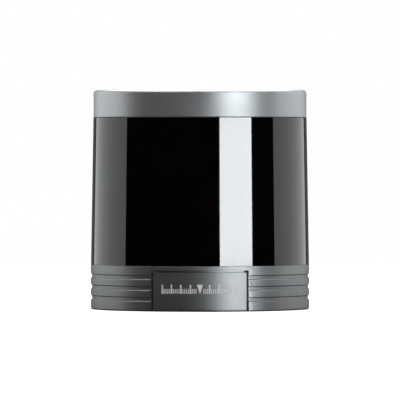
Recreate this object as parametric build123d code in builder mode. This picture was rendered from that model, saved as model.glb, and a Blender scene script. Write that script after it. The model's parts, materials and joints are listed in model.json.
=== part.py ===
from build123d import *
from math import degrees, pi, tan
import os

os.makedirs("parts", exist_ok=True)

# Spinning lidar scanner module.
# Millimetres, +Z up. The origin is the centre of the underside, the front badge faces -Y and
# the cable socket points to +Y. Everything turns about the vertical spindle on the Z axis.

# ---------------------------------------------------------------- outer size
base_radius = 55.0              # turned base
base_height = 22.4              # underside to the window's lower edge
window_height = 73.85           # visible height of the window
window_inset = 0.07             # window's lower edge inside the base's outline
window_taper = 1.23             # how much smaller its radius is at the top
window_wall = 2.8
cap_inset = 0.10                # cap inside the window's upper edge
cap_height = 13.95              # visible band of the top cap

# ---------------------------------------------------------------- clearances
slip = 0.10                     # radial gap of a part dropped into a recess
board_gap = 0.6                 # gap round a circuit board's cut-outs
running = 0.08                  # radial gap between a ball and its race

# ---------------------------------------------------------------- base housing
base_wall = 10.5                # thick outer wall that also sinks heat
deck_thickness = 3.6            # web under the window that carries the spindle
deck_drop = 0.4                 # web below the window's lower edge
base_edge = 0.6                 # chamfer round the underside
base_top_edge = 0.1             # small bevel beside the window
groove_count = 3
groove_pitch = 5.4
groove_first = 17.95            # upper edge of the highest groove
groove_width = 2.3              # at the housing's outline
groove_depth = 0.6
groove_slope = 0.4              # height of the sloping side above and below each floor
spigot_height = 5.0             # rings that reach into the window's ends
spigot_wall = 3.0

# ---------------------------------------------------------------- base plate
plate_rim = 3.6                 # housing left outside the plate
plate_thickness = 3.5
plate_screw_inset = 6.8         # screws inside the housing's outline
plate_screw_count = 8
m3_radius = 1.5
m3_head_radius = 2.8
m3_head_height = 1.6
m3_screw_length = 9.0
m3_key = 1.15                   # corner radius of the hexagon sockets
m3_key_depth = 1.0
m3_tap = 1.25                   # core radius of an M3 thread
screw_sink = 0.2                # screw heads below the plate's face
plate_seal_inset = 1.1          # seal's centre line outside the cavity
plate_seal_width = 1.2
plate_seal_depth = 0.9
mount_circle = 76.0             # diameter of the four mounting threads
mount_count = 4
mount_hole_radius = 1.65        # core of an M4 thread
mount_hole_depth = 8.0
boss_radius = 4.6
boss_top = 9.6                  # top of the threaded bosses
tripod_hole_radius = 2.55       # core of the centre thread
tripod_hole_depth = 7.5
tripod_boss_radius = 9.0

# ---------------------------------------------------------------- front badge
badge_half_angle = 25.1         # degrees each side of the front
badge_side_gap = 1.0
badge_low = 0.8
badge_high = 19.4
badge_top_gap = 0.95
badge_bottom_gap = 0.2
badge_thickness = 1.3
badge_inset = 0.5               # badge's face below the housing's outline
badge_edge = 0.3
badge_rim_depth = 0.2           # slope on the housing at each end of the pocket
badge_rim_width = 1.7

# ---------------------------------------------------------------- cap and seals
cap_edge = 1.8                  # rounding of the cap's top corner
cap_lower_edge = 0.3
cap_roof = 4.6
cap_wall = 4.0
cap_boss_radius = 8.0
seal_width = 2.0
seal_depth = 1.2
seal_lift = 1.5                 # seals above the lower edges of the spigot ends
hub_cover_radius = 7.5
hub_cover_height = 0.4          # how far the cover stands above the cap
hub_cover_seat = 1.2
hub_cover_edge = 0.25
cap_screw_head_radius = 3.5
cap_screw_head_height = 2.6
cap_screw_radius = 2.0
cap_screw_reach = 9.0
cap_key = 1.7
cap_key_depth = 1.8

# ---------------------------------------------------------------- spindle
spindle_spigot = 10.0           # centring diameter's radius in the deck
spindle_flange_radius = 17.0
spindle_flange = 3.0
spindle_screw_circle = 27.0
spindle_screw_count = 6
spindle_shoulder = 9.0
spindle_bore = 3.5
spindle_drop = 1.0              # top face below the window's upper edge
nut_height = 4.0
circlip = 1.1

# ---------------------------------------------------------------- bearings (15 x 28 x 7)
bearing_bore = 7.5
bearing_outer = 14.0
bearing_width = 7.0
ball_radius = 2.0
ball_count = 11
pitch_radius = 10.75
inner_land = 9.3
outer_land = 12.2
cage_half_thickness = 1.0
cage_height = 5.6
cage_pocket_gap = 0.12

# ---------------------------------------------------------------- motor
stator_outer = 22.5
stator_height = 8.0
stator_slots = 9
tooth_width = 4.0
tooth_tip = 1.8
stator_yoke = 3.6
winding_thickness = 1.6
magnet_gap = 0.5
magnet_thickness = 2.5
magnet_count = 12
bell_wall = 2.4
bell_roof = 2.0
motor_lift = 4.0                # stator above the spindle flange

# ---------------------------------------------------------------- wireless power and encoder
coil_clearance = 1.7            # power coils outside the encoder disc
coil_width = 10.5
coil_thickness = 2.6
coil_air_gap = 1.0
carrier_wall = 2.4
encoder_width = 4.9
encoder_thickness = 0.6

# ---------------------------------------------------------------- rotor
hub_wall = 2.4
hub_flange_reach = 4.0          # hub flange outside its screw circle
hub_flange = 2.5
platform_radius = 47.5
platform_thickness = 2.5
rotor_screw_inset = 3.6         # rotor screws outside the hub's tube
m25_radius = 1.25
m25_head_radius = 2.2
m25_head_height = 2.0
rotor_screw_count = 6

# ---------------------------------------------------------------- optics
lens_offset = 21.0              # each barrel's axis beside the spindle
barrel_radius = 12.9
barrel_wall = 1.4
barrel_front = 35.0
barrel_gap = 0.6                # barrels in front of the hub's tube
barrel_flange = 1.6
lens_thickness = 5.5
lens_edge = 2.0
lens_setback = 2.0
frame_plate = 4.0
frame_rim = 2.6                 # frame outside the lens barrels
frame_wall = 2.5
frame_gap = 0.6                 # rear wall behind the rotor screws' circle
frame_foot = 8.0
board_thickness = 1.6
laser_count = 16
control_stand = 7.0             # posts behind the frame

# ---------------------------------------------------------------- rear socket (M12 size)
socket_height = 11.4
socket_radius = 6.0
socket_reach = 10.2             # thread beyond the housing's flat
socket_flange_radius = 8.0
socket_flange = 2.2
socket_bore = 4.6
socket_seal = 0.6
socket_edge = 0.5
socket_cavity = 9.0             # depth open to the mating plug
socket_flat = 0.8               # depth of the flat below the base radius
socket_flat_half = 9.2          # half the flat's width and height
socket_nut_room = 9.0           # radius of the spot face for the nut
nut_flats = 13.5
nut_thickness = 3.0
pin_radius = 0.5
pin_circle = 2.9
pin_reach = 4.4                 # how far the pins stand in the cavity

# ---------------------------------------------------------------- derived radii
window_bottom_radius = base_radius - window_inset
window_top_radius = window_bottom_radius - window_taper
cap_radius = window_top_radius - cap_inset
cavity_radius = base_radius - base_wall
plate_radius = base_radius - plate_rim
plate_screw_circle = 2 * (base_radius - plate_screw_inset)
plate_seal_radius = cavity_radius + plate_seal_inset
magnet_inner = stator_outer + magnet_gap
magnet_outer = magnet_inner + magnet_thickness
bell_outer = magnet_outer + bell_wall
encoder_outer = bell_outer + encoder_width
coil_inner = encoder_outer + coil_clearance
coil_outer = coil_inner + coil_width
hub_outer = bearing_outer + hub_wall
rotor_screw_circle = 2 * (hub_outer + rotor_screw_inset)
hub_flange_radius = rotor_screw_circle / 2 + hub_flange_reach
barrel_back = hub_outer + barrel_gap
frame_front = rotor_screw_circle / 2 + frame_plate
frame_rear = rotor_screw_circle / 2 + frame_gap
frame_side = lens_offset + barrel_radius + frame_rim

# ---------------------------------------------------------------- derived heights
window_low = base_height
window_high = window_low + window_height
total_height = window_high + cap_height
deck_top = base_height - deck_drop
deck_low = deck_top - deck_thickness
flange_top = deck_top + spindle_flange
stator_low = flange_top + motor_lift
stator_high = stator_low + stator_height
bell_skirt_low = flange_top + 0.5
bell_low = stator_high + winding_thickness + 0.6
bell_high = bell_low + bell_roof
hub_low = bell_high
lower_bearing_low = hub_low
platform_low = hub_low + hub_flange
platform_high = platform_low + platform_thickness
spindle_top = window_high - spindle_drop
upper_bearing_high = spindle_top - nut_height - 3.6
upper_bearing_low = upper_bearing_high - bearing_width
hub_high = upper_bearing_high + 2.0
frame_top = hub_high - 4.0
optic_height = (platform_high + frame_top) / 2
lower_seal_low = window_low + seal_lift
upper_seal_low = window_high - spigot_height + seal_lift
window_slope = (window_bottom_radius - window_top_radius) / window_height


def window_inner(z):
    """Inner radius of the conical window at height z."""
    return window_bottom_radius - window_slope * (z - window_low) - window_wall


def save(piece, name):
    """Label one finished piece and write its STEP file."""
    piece.part.label = name
    export_step(piece.part, f"parts/{name}.step")


def ring(outer, inner, low, high, mode=Mode.ADD):
    """Ring or disc about Z, added to or cut from the part being built."""
    with BuildSketch(Plane.XY.offset(low)) as face:
        Circle(outer)
        if inner > 0:
            Circle(inner, mode=Mode.SUBTRACT)
    extrude(face.sketch, amount=high - low, mode=mode)


def turned(points, mode=Mode.ADD):
    """Solid of revolution about Z from (radius, height) points."""
    with BuildSketch(Plane.XZ) as face:
        with BuildLine():
            Polyline(*points, close=True)
        make_face()
    revolve(face.sketch, axis=Axis.Z, mode=mode)


def posts(radius, low, high, places, mode=Mode.ADD):
    """Round posts or holes along Z at the (x, y) places."""
    with BuildSketch(Plane.XY.offset(low)) as face:
        with Locations(*places):
            Circle(radius)
    extrude(face.sketch, amount=high - low, mode=mode)


def block(x, y, z, mode=Mode.ADD):
    """Box from (low, high) pairs along X, Y and Z."""
    with BuildSketch(Plane.XY.offset(z[0])) as face:
        with Locations(((x[0] + x[1]) / 2, (y[0] + y[1]) / 2)):
            Rectangle(x[1] - x[0], y[1] - y[0])
    extrude(face.sketch, amount=z[1] - z[0], mode=mode)


def rod(radius, x, z, y_low, y_high, mode=Mode.ADD):
    """Round bar or bore along +Y from y_low to y_high, centred on (x, z)."""
    with BuildSketch(Plane.XZ.offset(-y_low)) as face:
        with Locations((x, z)):
            Circle(radius)
    extrude(face.sketch, amount=y_low - y_high, mode=mode)


def on_circle(diameter, count, start=0.0):
    """Centres evenly spaced on a circle about Z, the first at start degrees."""
    angles = [start + i * 360 / count for i in range(count)]
    return [tuple(Vector(diameter / 2, 0, 0).rotate(Axis.Z, a))[:2] for a in angles]


def from_front(radius, angle):
    """Point (x, y) at an angle in degrees from the front, towards +X."""
    return tuple(Vector(0, -radius, 0).rotate(Axis.Z, angle))[:2]


def sector(outer, inner, half_angle, low, high, heading, mode=Mode.ADD):
    """Part of a ring, half_angle degrees each side of the heading."""
    reach = 2 * outer * tan(half_angle * pi / 180)
    with BuildSketch(Plane.XY.offset(low)) as face:
        with BuildLine(Plane.XY.rotated((0, 0, heading))):
            Polyline((0, 0), (2 * outer, -reach), (2 * outer, reach), close=True)
        make_face()
        Circle(outer, mode=Mode.INTERSECT)
        Circle(inner, mode=Mode.SUBTRACT)
    extrude(face.sketch, amount=high - low, mode=mode)


# ================================================================ fixed: base and casing
mount_places = on_circle(mount_circle, mount_count, 45)
plate_screws_at = on_circle(plate_screw_circle, plate_screw_count, 22.5)
spindle_screws_at = on_circle(spindle_screw_circle, spindle_screw_count)
badge_face = base_radius - badge_inset
pocket_floor = badge_face - badge_thickness
pocket_low = badge_low - badge_bottom_gap
pocket_high = badge_high + badge_top_gap
pocket_half_angle = badge_half_angle + degrees(badge_side_gap / base_radius)
flat_y = base_radius - socket_flat
inner_flat_y = cavity_radius + 0.3
spot_face_start = cavity_radius - 4

with BuildPart() as base_housing:
    turned([
        (cavity_radius, plate_thickness),
        (plate_radius + slip, plate_thickness),
        (plate_radius + slip, 0),
        (base_radius - base_edge, 0),
        (base_radius, base_edge),
        (base_radius, base_height - base_top_edge),
        (base_radius - base_top_edge, base_height),
        (window_inner(window_low) - slip, base_height),
        (window_inner(window_low + spigot_height) - slip, base_height + spigot_height),
        (window_inner(window_low) - spigot_wall, base_height + spigot_height),
        (window_inner(window_low) - spigot_wall, deck_top),
        (spindle_spigot + slip, deck_top),
        (spindle_spigot + slip, deck_low),
        (cavity_radius, deck_low),
    ])
    for i in range(groove_count):
        upper = groove_first - i * groove_pitch
        floor = base_radius - groove_depth
        turned([
            (floor, upper - groove_slope),
            (base_radius, upper),
            (base_radius + 1, upper),
            (base_radius + 1, upper - groove_width),
            (base_radius, upper - groove_width),
            (floor, upper - groove_width + groove_slope),
        ], mode=Mode.SUBTRACT)
    ring(window_inner(window_low), window_inner(window_low) - seal_depth,
         lower_seal_low, lower_seal_low + seal_width, mode=Mode.SUBTRACT)
    sector(base_radius + 1, pocket_floor, pocket_half_angle, pocket_low, pocket_high, -90,
           mode=Mode.SUBTRACT)
    for side in (-1, 1):
        wall = side * pocket_half_angle
        land = wall + side * degrees(badge_rim_width / base_radius)
        with BuildSketch(Plane.XY.offset(pocket_low)) as rim:
            with BuildLine():
                Polyline(from_front(base_radius - badge_rim_depth, wall),
                         from_front(base_radius, land),
                         from_front(base_radius + 1, land),
                         from_front(base_radius + 1, wall), close=True)
            make_face()
        extrude(rim.sketch, amount=pocket_high - pocket_low, mode=Mode.SUBTRACT)
    block((-socket_flat_half, socket_flat_half), (flat_y, base_radius + 1),
          (socket_height - socket_flat_half, socket_height + socket_flat_half),
          mode=Mode.SUBTRACT)
    rod(socket_radius + slip, 0, socket_height, spot_face_start, base_radius,
        mode=Mode.SUBTRACT)
    rod(socket_nut_room, 0, socket_height, spot_face_start, inner_flat_y, mode=Mode.SUBTRACT)
    posts(m3_tap, plate_thickness, plate_thickness + m3_screw_length - 1.5,
          plate_screws_at, mode=Mode.SUBTRACT)
    posts(m3_radius, deck_low, deck_top, spindle_screws_at, mode=Mode.SUBTRACT)
save(base_housing, "base_housing")

with BuildPart() as base_plate:
    ring(plate_radius, 0, 0, plate_thickness)
    ring(tripod_boss_radius, 0, plate_thickness, boss_top)
    posts(boss_radius, plate_thickness, boss_top, mount_places)
    posts(mount_hole_radius, 0, mount_hole_depth, mount_places, mode=Mode.SUBTRACT)
    ring(tripod_hole_radius, 0, 0, tripod_hole_depth, mode=Mode.SUBTRACT)
    posts(m3_radius + slip, 0, plate_thickness, plate_screws_at, mode=Mode.SUBTRACT)
    posts(m3_head_radius + slip, 0, screw_sink + m3_head_height, plate_screws_at,
          mode=Mode.SUBTRACT)
    ring(plate_seal_radius + plate_seal_width / 2, plate_seal_radius - plate_seal_width / 2,
         plate_thickness - plate_seal_depth, plate_thickness, mode=Mode.SUBTRACT)
save(base_plate, "base_plate")

with BuildPart() as base_plate_seal:
    ring(plate_seal_radius + plate_seal_width / 2, plate_seal_radius - plate_seal_width / 2,
         plate_thickness - plate_seal_depth, plate_thickness)
save(base_plate_seal, "base_plate_seal")

with BuildPart() as base_plate_screws:
    posts(m3_head_radius, screw_sink, screw_sink + m3_head_height, plate_screws_at)
    posts(m3_tap, screw_sink + m3_head_height, plate_thickness + m3_screw_length - 2.5,
          plate_screws_at)
    with BuildSketch(Plane.XY.offset(screw_sink)) as hex_sockets:
        with Locations(*plate_screws_at):
            RegularPolygon(m3_key, 6)
    extrude(hex_sockets.sketch, amount=m3_key_depth, mode=Mode.SUBTRACT)
save(base_plate_screws, "base_plate_screws")

with BuildPart() as badge_plate:
    sector(badge_face, pocket_floor, badge_half_angle, badge_low, badge_high, -90)
    front = badge_plate.faces().filter_by(GeomType.CYLINDER).sort_by(Axis.Y)[0]
    chamfer(front.edges(), badge_edge)
save(badge_plate, "badge_plate")

with BuildPart() as window:
    turned([
        (window_bottom_radius, window_low),
        (window_top_radius, window_high),
        (window_inner(window_high), window_high),
        (window_inner(window_low), window_low),
    ])
save(window, "window")

with BuildPart() as window_lower_seal:
    turned([
        (window_inner(lower_seal_low), lower_seal_low),
        (window_inner(lower_seal_low + seal_width), lower_seal_low + seal_width),
        (window_inner(window_low) - seal_depth, lower_seal_low + seal_width),
        (window_inner(window_low) - seal_depth, lower_seal_low),
    ])
save(window_lower_seal, "window_lower_seal")

with BuildPart() as window_upper_seal:
    turned([
        (window_inner(upper_seal_low), upper_seal_low),
        (window_inner(upper_seal_low + seal_width), upper_seal_low + seal_width),
        (window_inner(window_high) - seal_depth, upper_seal_low + seal_width),
        (window_inner(window_high) - seal_depth, upper_seal_low),
    ])
save(window_upper_seal, "window_upper_seal")

cap_spigot_inner = window_inner(window_high) - spigot_wall
cover_floor = total_height - hub_cover_seat
screw_head_floor = cover_floor - cap_screw_head_height - 0.2

with BuildPart() as top_cap:
    turned([
        (0, spindle_top),
        (cap_boss_radius, spindle_top),
        (cap_boss_radius, total_height - cap_roof),
        (cap_spigot_inner, total_height - cap_roof),
        (cap_spigot_inner, window_high - spigot_height),
        (window_inner(window_high - spigot_height) - slip, window_high - spigot_height),
        (window_inner(window_high) - slip, window_high),
        (cap_radius - cap_lower_edge, window_high),
        (cap_radius, window_high + cap_lower_edge),
        (cap_radius, total_height),
        (0, total_height),
    ])
    fillet(top_cap.faces().sort_by(Axis.Z)[-1].edges(), cap_edge)
    ring(window_inner(window_high), window_inner(window_high) - seal_depth,
         upper_seal_low, upper_seal_low + seal_width, mode=Mode.SUBTRACT)
    ring(hub_cover_radius + slip, 0, cover_floor, total_height, mode=Mode.SUBTRACT)
    ring(cap_screw_head_radius + slip, 0, screw_head_floor, cover_floor, mode=Mode.SUBTRACT)
    ring(cap_screw_radius + slip, 0, spindle_top, screw_head_floor, mode=Mode.SUBTRACT)
save(top_cap, "top_cap")

with BuildPart() as cap_screw:
    ring(cap_screw_head_radius, 0, screw_head_floor, screw_head_floor + cap_screw_head_height)
    ring(cap_screw_radius, 0, spindle_top - cap_screw_reach, screw_head_floor)
    with BuildSketch(Plane.XY.offset(screw_head_floor + cap_screw_head_height)) as hex_socket:
        RegularPolygon(cap_key, 6)
    extrude(hex_socket.sketch, amount=-cap_key_depth, mode=Mode.SUBTRACT)
save(cap_screw, "cap_screw")

with BuildPart() as hub_cover:
    ring(hub_cover_radius, 0, cover_floor, total_height + hub_cover_height)
    chamfer(hub_cover.faces().sort_by(Axis.Z)[-1].edges(), hub_cover_edge)
save(hub_cover, "hub_cover")

# ================================================================ fixed: spindle and bearings
with BuildPart() as spindle:
    turned([
        (spindle_bore, deck_low),
        (spindle_spigot, deck_low),
        (spindle_spigot, deck_top),
        (spindle_flange_radius, deck_top),
        (spindle_flange_radius, flange_top),
        (spindle_shoulder, flange_top),
        (spindle_shoulder, lower_bearing_low),
        (bearing_bore, lower_bearing_low),
        (bearing_bore, spindle_top),
        (cap_screw_radius, spindle_top),
        (cap_screw_radius, spindle_top - cap_screw_reach - 2),
        (spindle_bore, spindle_top - cap_screw_reach - 3.5),
    ])
    posts(m3_radius + slip, deck_top, flange_top, spindle_screws_at, mode=Mode.SUBTRACT)
save(spindle, "spindle")

with BuildPart() as bearing_spacer:
    ring(spindle_shoulder, bearing_bore, lower_bearing_low + bearing_width, upper_bearing_low)
save(bearing_spacer, "bearing_spacer")

with BuildPart() as bearing_nut:
    with BuildSketch(Plane.XY.offset(upper_bearing_high)) as nut_face:
        RegularPolygon(spindle_shoulder + 1.6, 6)
        Circle(bearing_bore, mode=Mode.SUBTRACT)
    extrude(nut_face.sketch, amount=nut_height)
save(bearing_nut, "bearing_nut")


def race_groove(middle):
    """Ring-shaped channel that the balls run in."""
    with BuildSketch(Plane.XZ) as section:
        with Locations((pitch_radius, middle)):
            Circle(ball_radius + running)
    revolve(section.sketch, axis=Axis.Z, mode=Mode.SUBTRACT)


for place, low in (("lower", lower_bearing_low), ("upper", upper_bearing_low)):
    high = low + bearing_width
    middle = low + bearing_width / 2

    with BuildPart() as inner_ring:
        ring(inner_land, bearing_bore, low, high)
        race_groove(middle)
    save(inner_ring, f"{place}_bearing_inner_ring")

    with BuildPart() as outer_ring:
        ring(bearing_outer, outer_land, low, high)
        race_groove(middle)
    save(outer_ring, f"{place}_bearing_outer_ring")

    with BuildPart(Plane.XY.offset(middle)) as bearing_balls:
        with PolarLocations(pitch_radius, ball_count):
            Sphere(ball_radius)
    save(bearing_balls, f"{place}_bearing_balls")

    with BuildPart() as bearing_cage:
        ring(pitch_radius + cage_half_thickness, pitch_radius - cage_half_thickness,
             middle - cage_height / 2, middle + cage_height / 2)
        with Locations((0, 0, middle)):
            with PolarLocations(pitch_radius, ball_count):
                Cylinder(ball_radius + cage_pocket_gap, 4 * cage_half_thickness,
                         rotation=(0, 90, 0), mode=Mode.SUBTRACT)
    save(bearing_cage, f"{place}_bearing_cage")

# ================================================================ fixed: motor stator
tooth_root = spindle_shoulder + stator_yoke
tip_inner = stator_outer - tooth_tip

with BuildPart() as stator_core:
    with BuildSketch(Plane.XY.offset(stator_low)) as lamination:
        Circle(tooth_root)
        with PolarLocations(0, stator_slots):
            with Locations(((tooth_root + stator_outer) / 2 - 0.6, 0)):
                Rectangle(stator_outer - tooth_root, tooth_width)
        with BuildSketch(mode=Mode.PRIVATE) as tips:
            Circle(stator_outer)
            Circle(tip_inner, mode=Mode.SUBTRACT)
            with PolarLocations(0, stator_slots, start_angle=180 / stator_slots):
                with Locations((stator_outer, 0)):
                    Rectangle(4 * tooth_tip, 1.8, mode=Mode.SUBTRACT)
        add(tips.sketch)
        Circle(spindle_shoulder, mode=Mode.SUBTRACT)
    extrude(lamination.sketch, amount=stator_height)
save(stator_core, "stator_core")

with BuildPart() as stator_windings:
    wide = tooth_width + 2 * winding_thickness
    length = tip_inner - tooth_root - 1.6
    with BuildSketch(Plane.XY.offset(stator_low - winding_thickness)) as coil_face:
        with PolarLocations(0, stator_slots):
            with Locations((tooth_root + 1.2 + length / 2, 0)):
                RectangleRounded(length, wide, 1.0)
    extrude(coil_face.sketch, amount=stator_height + 2 * winding_thickness)
    with BuildSketch(Plane.XY.offset(stator_low)) as tooth_face:
        with PolarLocations(0, stator_slots):
            with Locations((stator_outer / 2 + 2, 0)):
                Rectangle(stator_outer, tooth_width)
    extrude(tooth_face.sketch, amount=stator_height, mode=Mode.SUBTRACT)
save(stator_windings, "stator_windings")

# ================================================================ fixed: power coil and encoder
secondary_coil_low = platform_low - coil_thickness
primary_coil_high = secondary_coil_low - coil_air_gap
carrier_high = primary_coil_high - coil_thickness
coil_middle = (coil_inner + coil_outer) / 2

with BuildPart() as coil_carrier:
    ring(coil_middle + carrier_wall, coil_middle - carrier_wall, deck_top, carrier_high)
save(coil_carrier, "coil_carrier")

with BuildPart() as primary_coil:
    ring(coil_outer, coil_inner, carrier_high, primary_coil_high)
save(primary_coil, "primary_coil")

encoder_low = bell_skirt_low
sensor_reach = encoder_outer + 1.2

with BuildPart() as encoder_sensor:
    block((encoder_outer - 3, sensor_reach + 2.4), (-4, 4), (deck_top, encoder_low + 4.5))
    block((encoder_outer - 3, sensor_reach), (-4, 4),
          (encoder_low - 0.7, encoder_low + encoder_thickness + 0.7), mode=Mode.SUBTRACT)
save(encoder_sensor, "encoder_sensor")

# ================================================================ fixed: base electronics
board_low = boss_top - 1.2
board_high = board_low + board_thickness
board_radius = cavity_radius - 2.2
standoffs_at = on_circle(60.0, 4, 8)

with BuildPart() as board_standoffs:
    with BuildSketch(Plane.XY.offset(plate_thickness)) as hex_face:
        with Locations(*standoffs_at):
            RegularPolygon(2.9, 6)
    extrude(hex_face.sketch, amount=board_low - plate_thickness)
save(board_standoffs, "board_standoffs")

with BuildPart() as interface_board:
    ring(board_radius, tripod_boss_radius + board_gap, board_low, board_high)
    posts(boss_radius + board_gap, board_low, board_high, mount_places, mode=Mode.SUBTRACT)
    posts(m3_radius, board_low, board_high, standoffs_at, mode=Mode.SUBTRACT)
    block((-10.5, 10.5), (cavity_radius - 11.5, cavity_radius), (board_low, board_high),
          mode=Mode.SUBTRACT)
save(interface_board, "interface_board")

with BuildPart() as chassis_screws:
    posts(m3_head_radius, flange_top, flange_top + m3_head_height, spindle_screws_at)
    posts(m3_radius, deck_low + 0.4, flange_top, spindle_screws_at)
    posts(m3_head_radius, board_high, board_high + m3_head_height, standoffs_at)
    posts(m3_radius, board_low, board_high, standoffs_at)
save(chassis_screws, "chassis_screws")

with BuildPart() as interface_components:
    block((-24, -10), (-34, -20), (board_high, board_high + 1.8))
    block((8, 17), (-35, -26), (board_high, board_high + 1.4))
    block((22, 30), (-17, -9), (board_high, board_high + 1.2))
    block((-19, -13), (13, 21), (board_high, board_high + 1.6))
    block((18, 27), (12, 27), (board_high, board_high + 4.2))
    posts(3.1, board_high, board_high + 6.2, [(-36, 6), (-36, -6), (36, 7)])
    posts(2.4, board_high, board_high + 5.2, [(37, -7), (-4, -18)])
save(interface_components, "interface_components")

# ================================================================ fixed: rear socket
thread_end = flat_y + socket_reach
flange_start = flat_y + socket_seal
insert_back = inner_flat_y - nut_thickness - 1.0
insert_front = thread_end - socket_cavity

with BuildPart() as socket_shell:
    rod(socket_radius, 0, socket_height, insert_back + 0.4, thread_end)
    rod(socket_flange_radius, 0, socket_height, flange_start, flange_start + socket_flange)
    rod(socket_bore, 0, socket_height, insert_back + 0.4, thread_end, mode=Mode.SUBTRACT)
    mouth = socket_shell.edges().filter_by(GeomType.CIRCLE).group_by(Axis.Y)[-1]
    chamfer(mouth.sort_by(SortBy.RADIUS)[-1], socket_edge)
save(socket_shell, "socket_shell")

with BuildPart() as socket_seal_ring:
    rod(socket_flange_radius - 0.4, 0, socket_height, flat_y, flange_start)
    rod(socket_radius, 0, socket_height, flat_y, flange_start, mode=Mode.SUBTRACT)
save(socket_seal_ring, "socket_seal")

with BuildPart() as socket_nut:
    with BuildSketch(Plane.XZ.offset(-(inner_flat_y - nut_thickness))) as nut_face:
        with Locations((0, socket_height)):
            RegularPolygon(nut_flats / 2, 6, major_radius=False, rotation=30)
            Circle(socket_radius, mode=Mode.SUBTRACT)
    extrude(nut_face.sketch, amount=-nut_thickness)
save(socket_nut, "socket_nut")

pins_at = [(0.0, socket_height)] + [(x, socket_height + z) for x, z in on_circle(2 * pin_circle, 7)]

with BuildPart() as socket_insert:
    rod(socket_bore, 0, socket_height, insert_back, insert_front)
    for x, z in pins_at:
        rod(pin_radius, x, z, insert_back, insert_front, mode=Mode.SUBTRACT)
save(socket_insert, "socket_insert")

with BuildPart() as socket_contacts:
    for x, z in pins_at:
        rod(pin_radius, x, z, insert_back - 1.2, insert_front + pin_reach)
save(socket_contacts, "socket_contacts")

harness_radius = 1.0
plug_height = board_high + 1.9
plug_x = 7.0
harness_start = insert_back - 1.3
plug_entry = 20.0
harness_points = [
    (0, harness_start, socket_height),
    (0, harness_start - 6, socket_height),
    (plug_x, plug_entry + 7, plug_height),
    (plug_x, plug_entry, plug_height),
]

with BuildPart() as board_plug:
    block((plug_x - 4, plug_x + 4), (plug_entry - 6, plug_entry), (board_high, board_high + 3.8))
save(board_plug, "board_plug")

with BuildPart() as socket_harness:
    with BuildLine() as route:
        FilletPolyline(*harness_points, radius=5.0)
    with BuildSketch(Plane(origin=harness_points[0], z_dir=(0, -1, 0))) as bundle:
        Circle(harness_radius)
    sweep(bundle.sketch, path=route.line)
save(socket_harness, "socket_harness")

# ================================================================ rotor: hub and motor bell
rotor_screws_at = on_circle(rotor_screw_circle, rotor_screw_count)

with BuildPart() as rotor_hub:
    turned([
        (bearing_outer, hub_low),
        (hub_flange_radius, hub_low),
        (hub_flange_radius, platform_low),
        (hub_outer, platform_low),
        (hub_outer, hub_high),
        (bearing_outer, hub_high),
        (bearing_outer, upper_bearing_low),
        (outer_land - 0.2, upper_bearing_low),
        (outer_land - 0.2, lower_bearing_low + bearing_width),
        (bearing_outer, lower_bearing_low + bearing_width),
    ])
    ring(bearing_outer + 0.8, bearing_outer - 1, upper_bearing_high, upper_bearing_high + circlip,
         mode=Mode.SUBTRACT)
    posts(m25_radius + slip, hub_low, platform_low, rotor_screws_at, mode=Mode.SUBTRACT)
save(rotor_hub, "rotor_hub")

with BuildPart() as hub_circlip:
    ring(bearing_outer + 0.7, outer_land + 0.4, upper_bearing_high, upper_bearing_high + 1.0)
    block((-2.5, 2.5), (0, 20), (upper_bearing_high, upper_bearing_high + 1.0), mode=Mode.SUBTRACT)
save(hub_circlip, "hub_circlip")

with BuildPart() as rotor_bell:
    ring(bell_outer, magnet_outer, bell_skirt_low, bell_low)
    ring(bell_outer, outer_land + 0.3, bell_low, bell_high)
    posts(m25_radius, bell_low, bell_high, rotor_screws_at, mode=Mode.SUBTRACT)
save(rotor_bell, "rotor_bell")

with BuildPart() as rotor_magnets:
    ring(magnet_outer, magnet_inner, stator_low - 0.5, stator_high + 0.5)
    with BuildSketch(Plane.XY.offset(stator_low - 0.5)) as gap_face:
        with PolarLocations(magnet_outer, magnet_count):
            Rectangle(3 * magnet_thickness, 0.8)
    extrude(gap_face.sketch, amount=stator_height + 1, mode=Mode.SUBTRACT)
save(rotor_magnets, "rotor_magnets")

with BuildPart() as encoder_disc:
    ring(encoder_outer, bell_outer, encoder_low, encoder_low + encoder_thickness)
    with BuildSketch(Plane.XY.offset(encoder_low)) as slit_face:
        with PolarLocations(encoder_outer - 1.3, 60):
            Rectangle(1.6, 0.8)
    extrude(slit_face.sketch, amount=encoder_thickness, mode=Mode.SUBTRACT)
save(encoder_disc, "encoder_disc")

with BuildPart() as secondary_coil:
    ring(coil_outer, coil_inner, secondary_coil_low, platform_low)
save(secondary_coil, "secondary_coil")

frame_screw_x = frame_side - frame_wall - frame_foot / 2
frame_screws_at = [(x, y) for x in (-frame_screw_x, frame_screw_x) for y in (-4, 4)]

with BuildPart() as rotor_platform:
    ring(platform_radius, hub_outer + slip, platform_low, platform_high)
    posts(m25_radius + slip, platform_low, platform_high, rotor_screws_at, mode=Mode.SUBTRACT)
    posts(m25_radius, platform_low, platform_high, frame_screws_at, mode=Mode.SUBTRACT)
save(rotor_platform, "rotor_platform")

with BuildPart() as balance_weight:
    sector(platform_radius - 0.6, platform_radius - 6.5, 24, platform_high, platform_high + 4, 90)
save(balance_weight, "balance_weight")

# ================================================================ rotor: optics
sides = (("emitter", -1), ("receiver", 1))
frame_back = frame_rear + frame_wall
foot_high = platform_high + 2.5
control_low = frame_back + control_stand
control_high = control_low + board_thickness
pillars_at = [(x, optic_height + z) for x in (-28, 28) for z in (-13, 13)]

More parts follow.
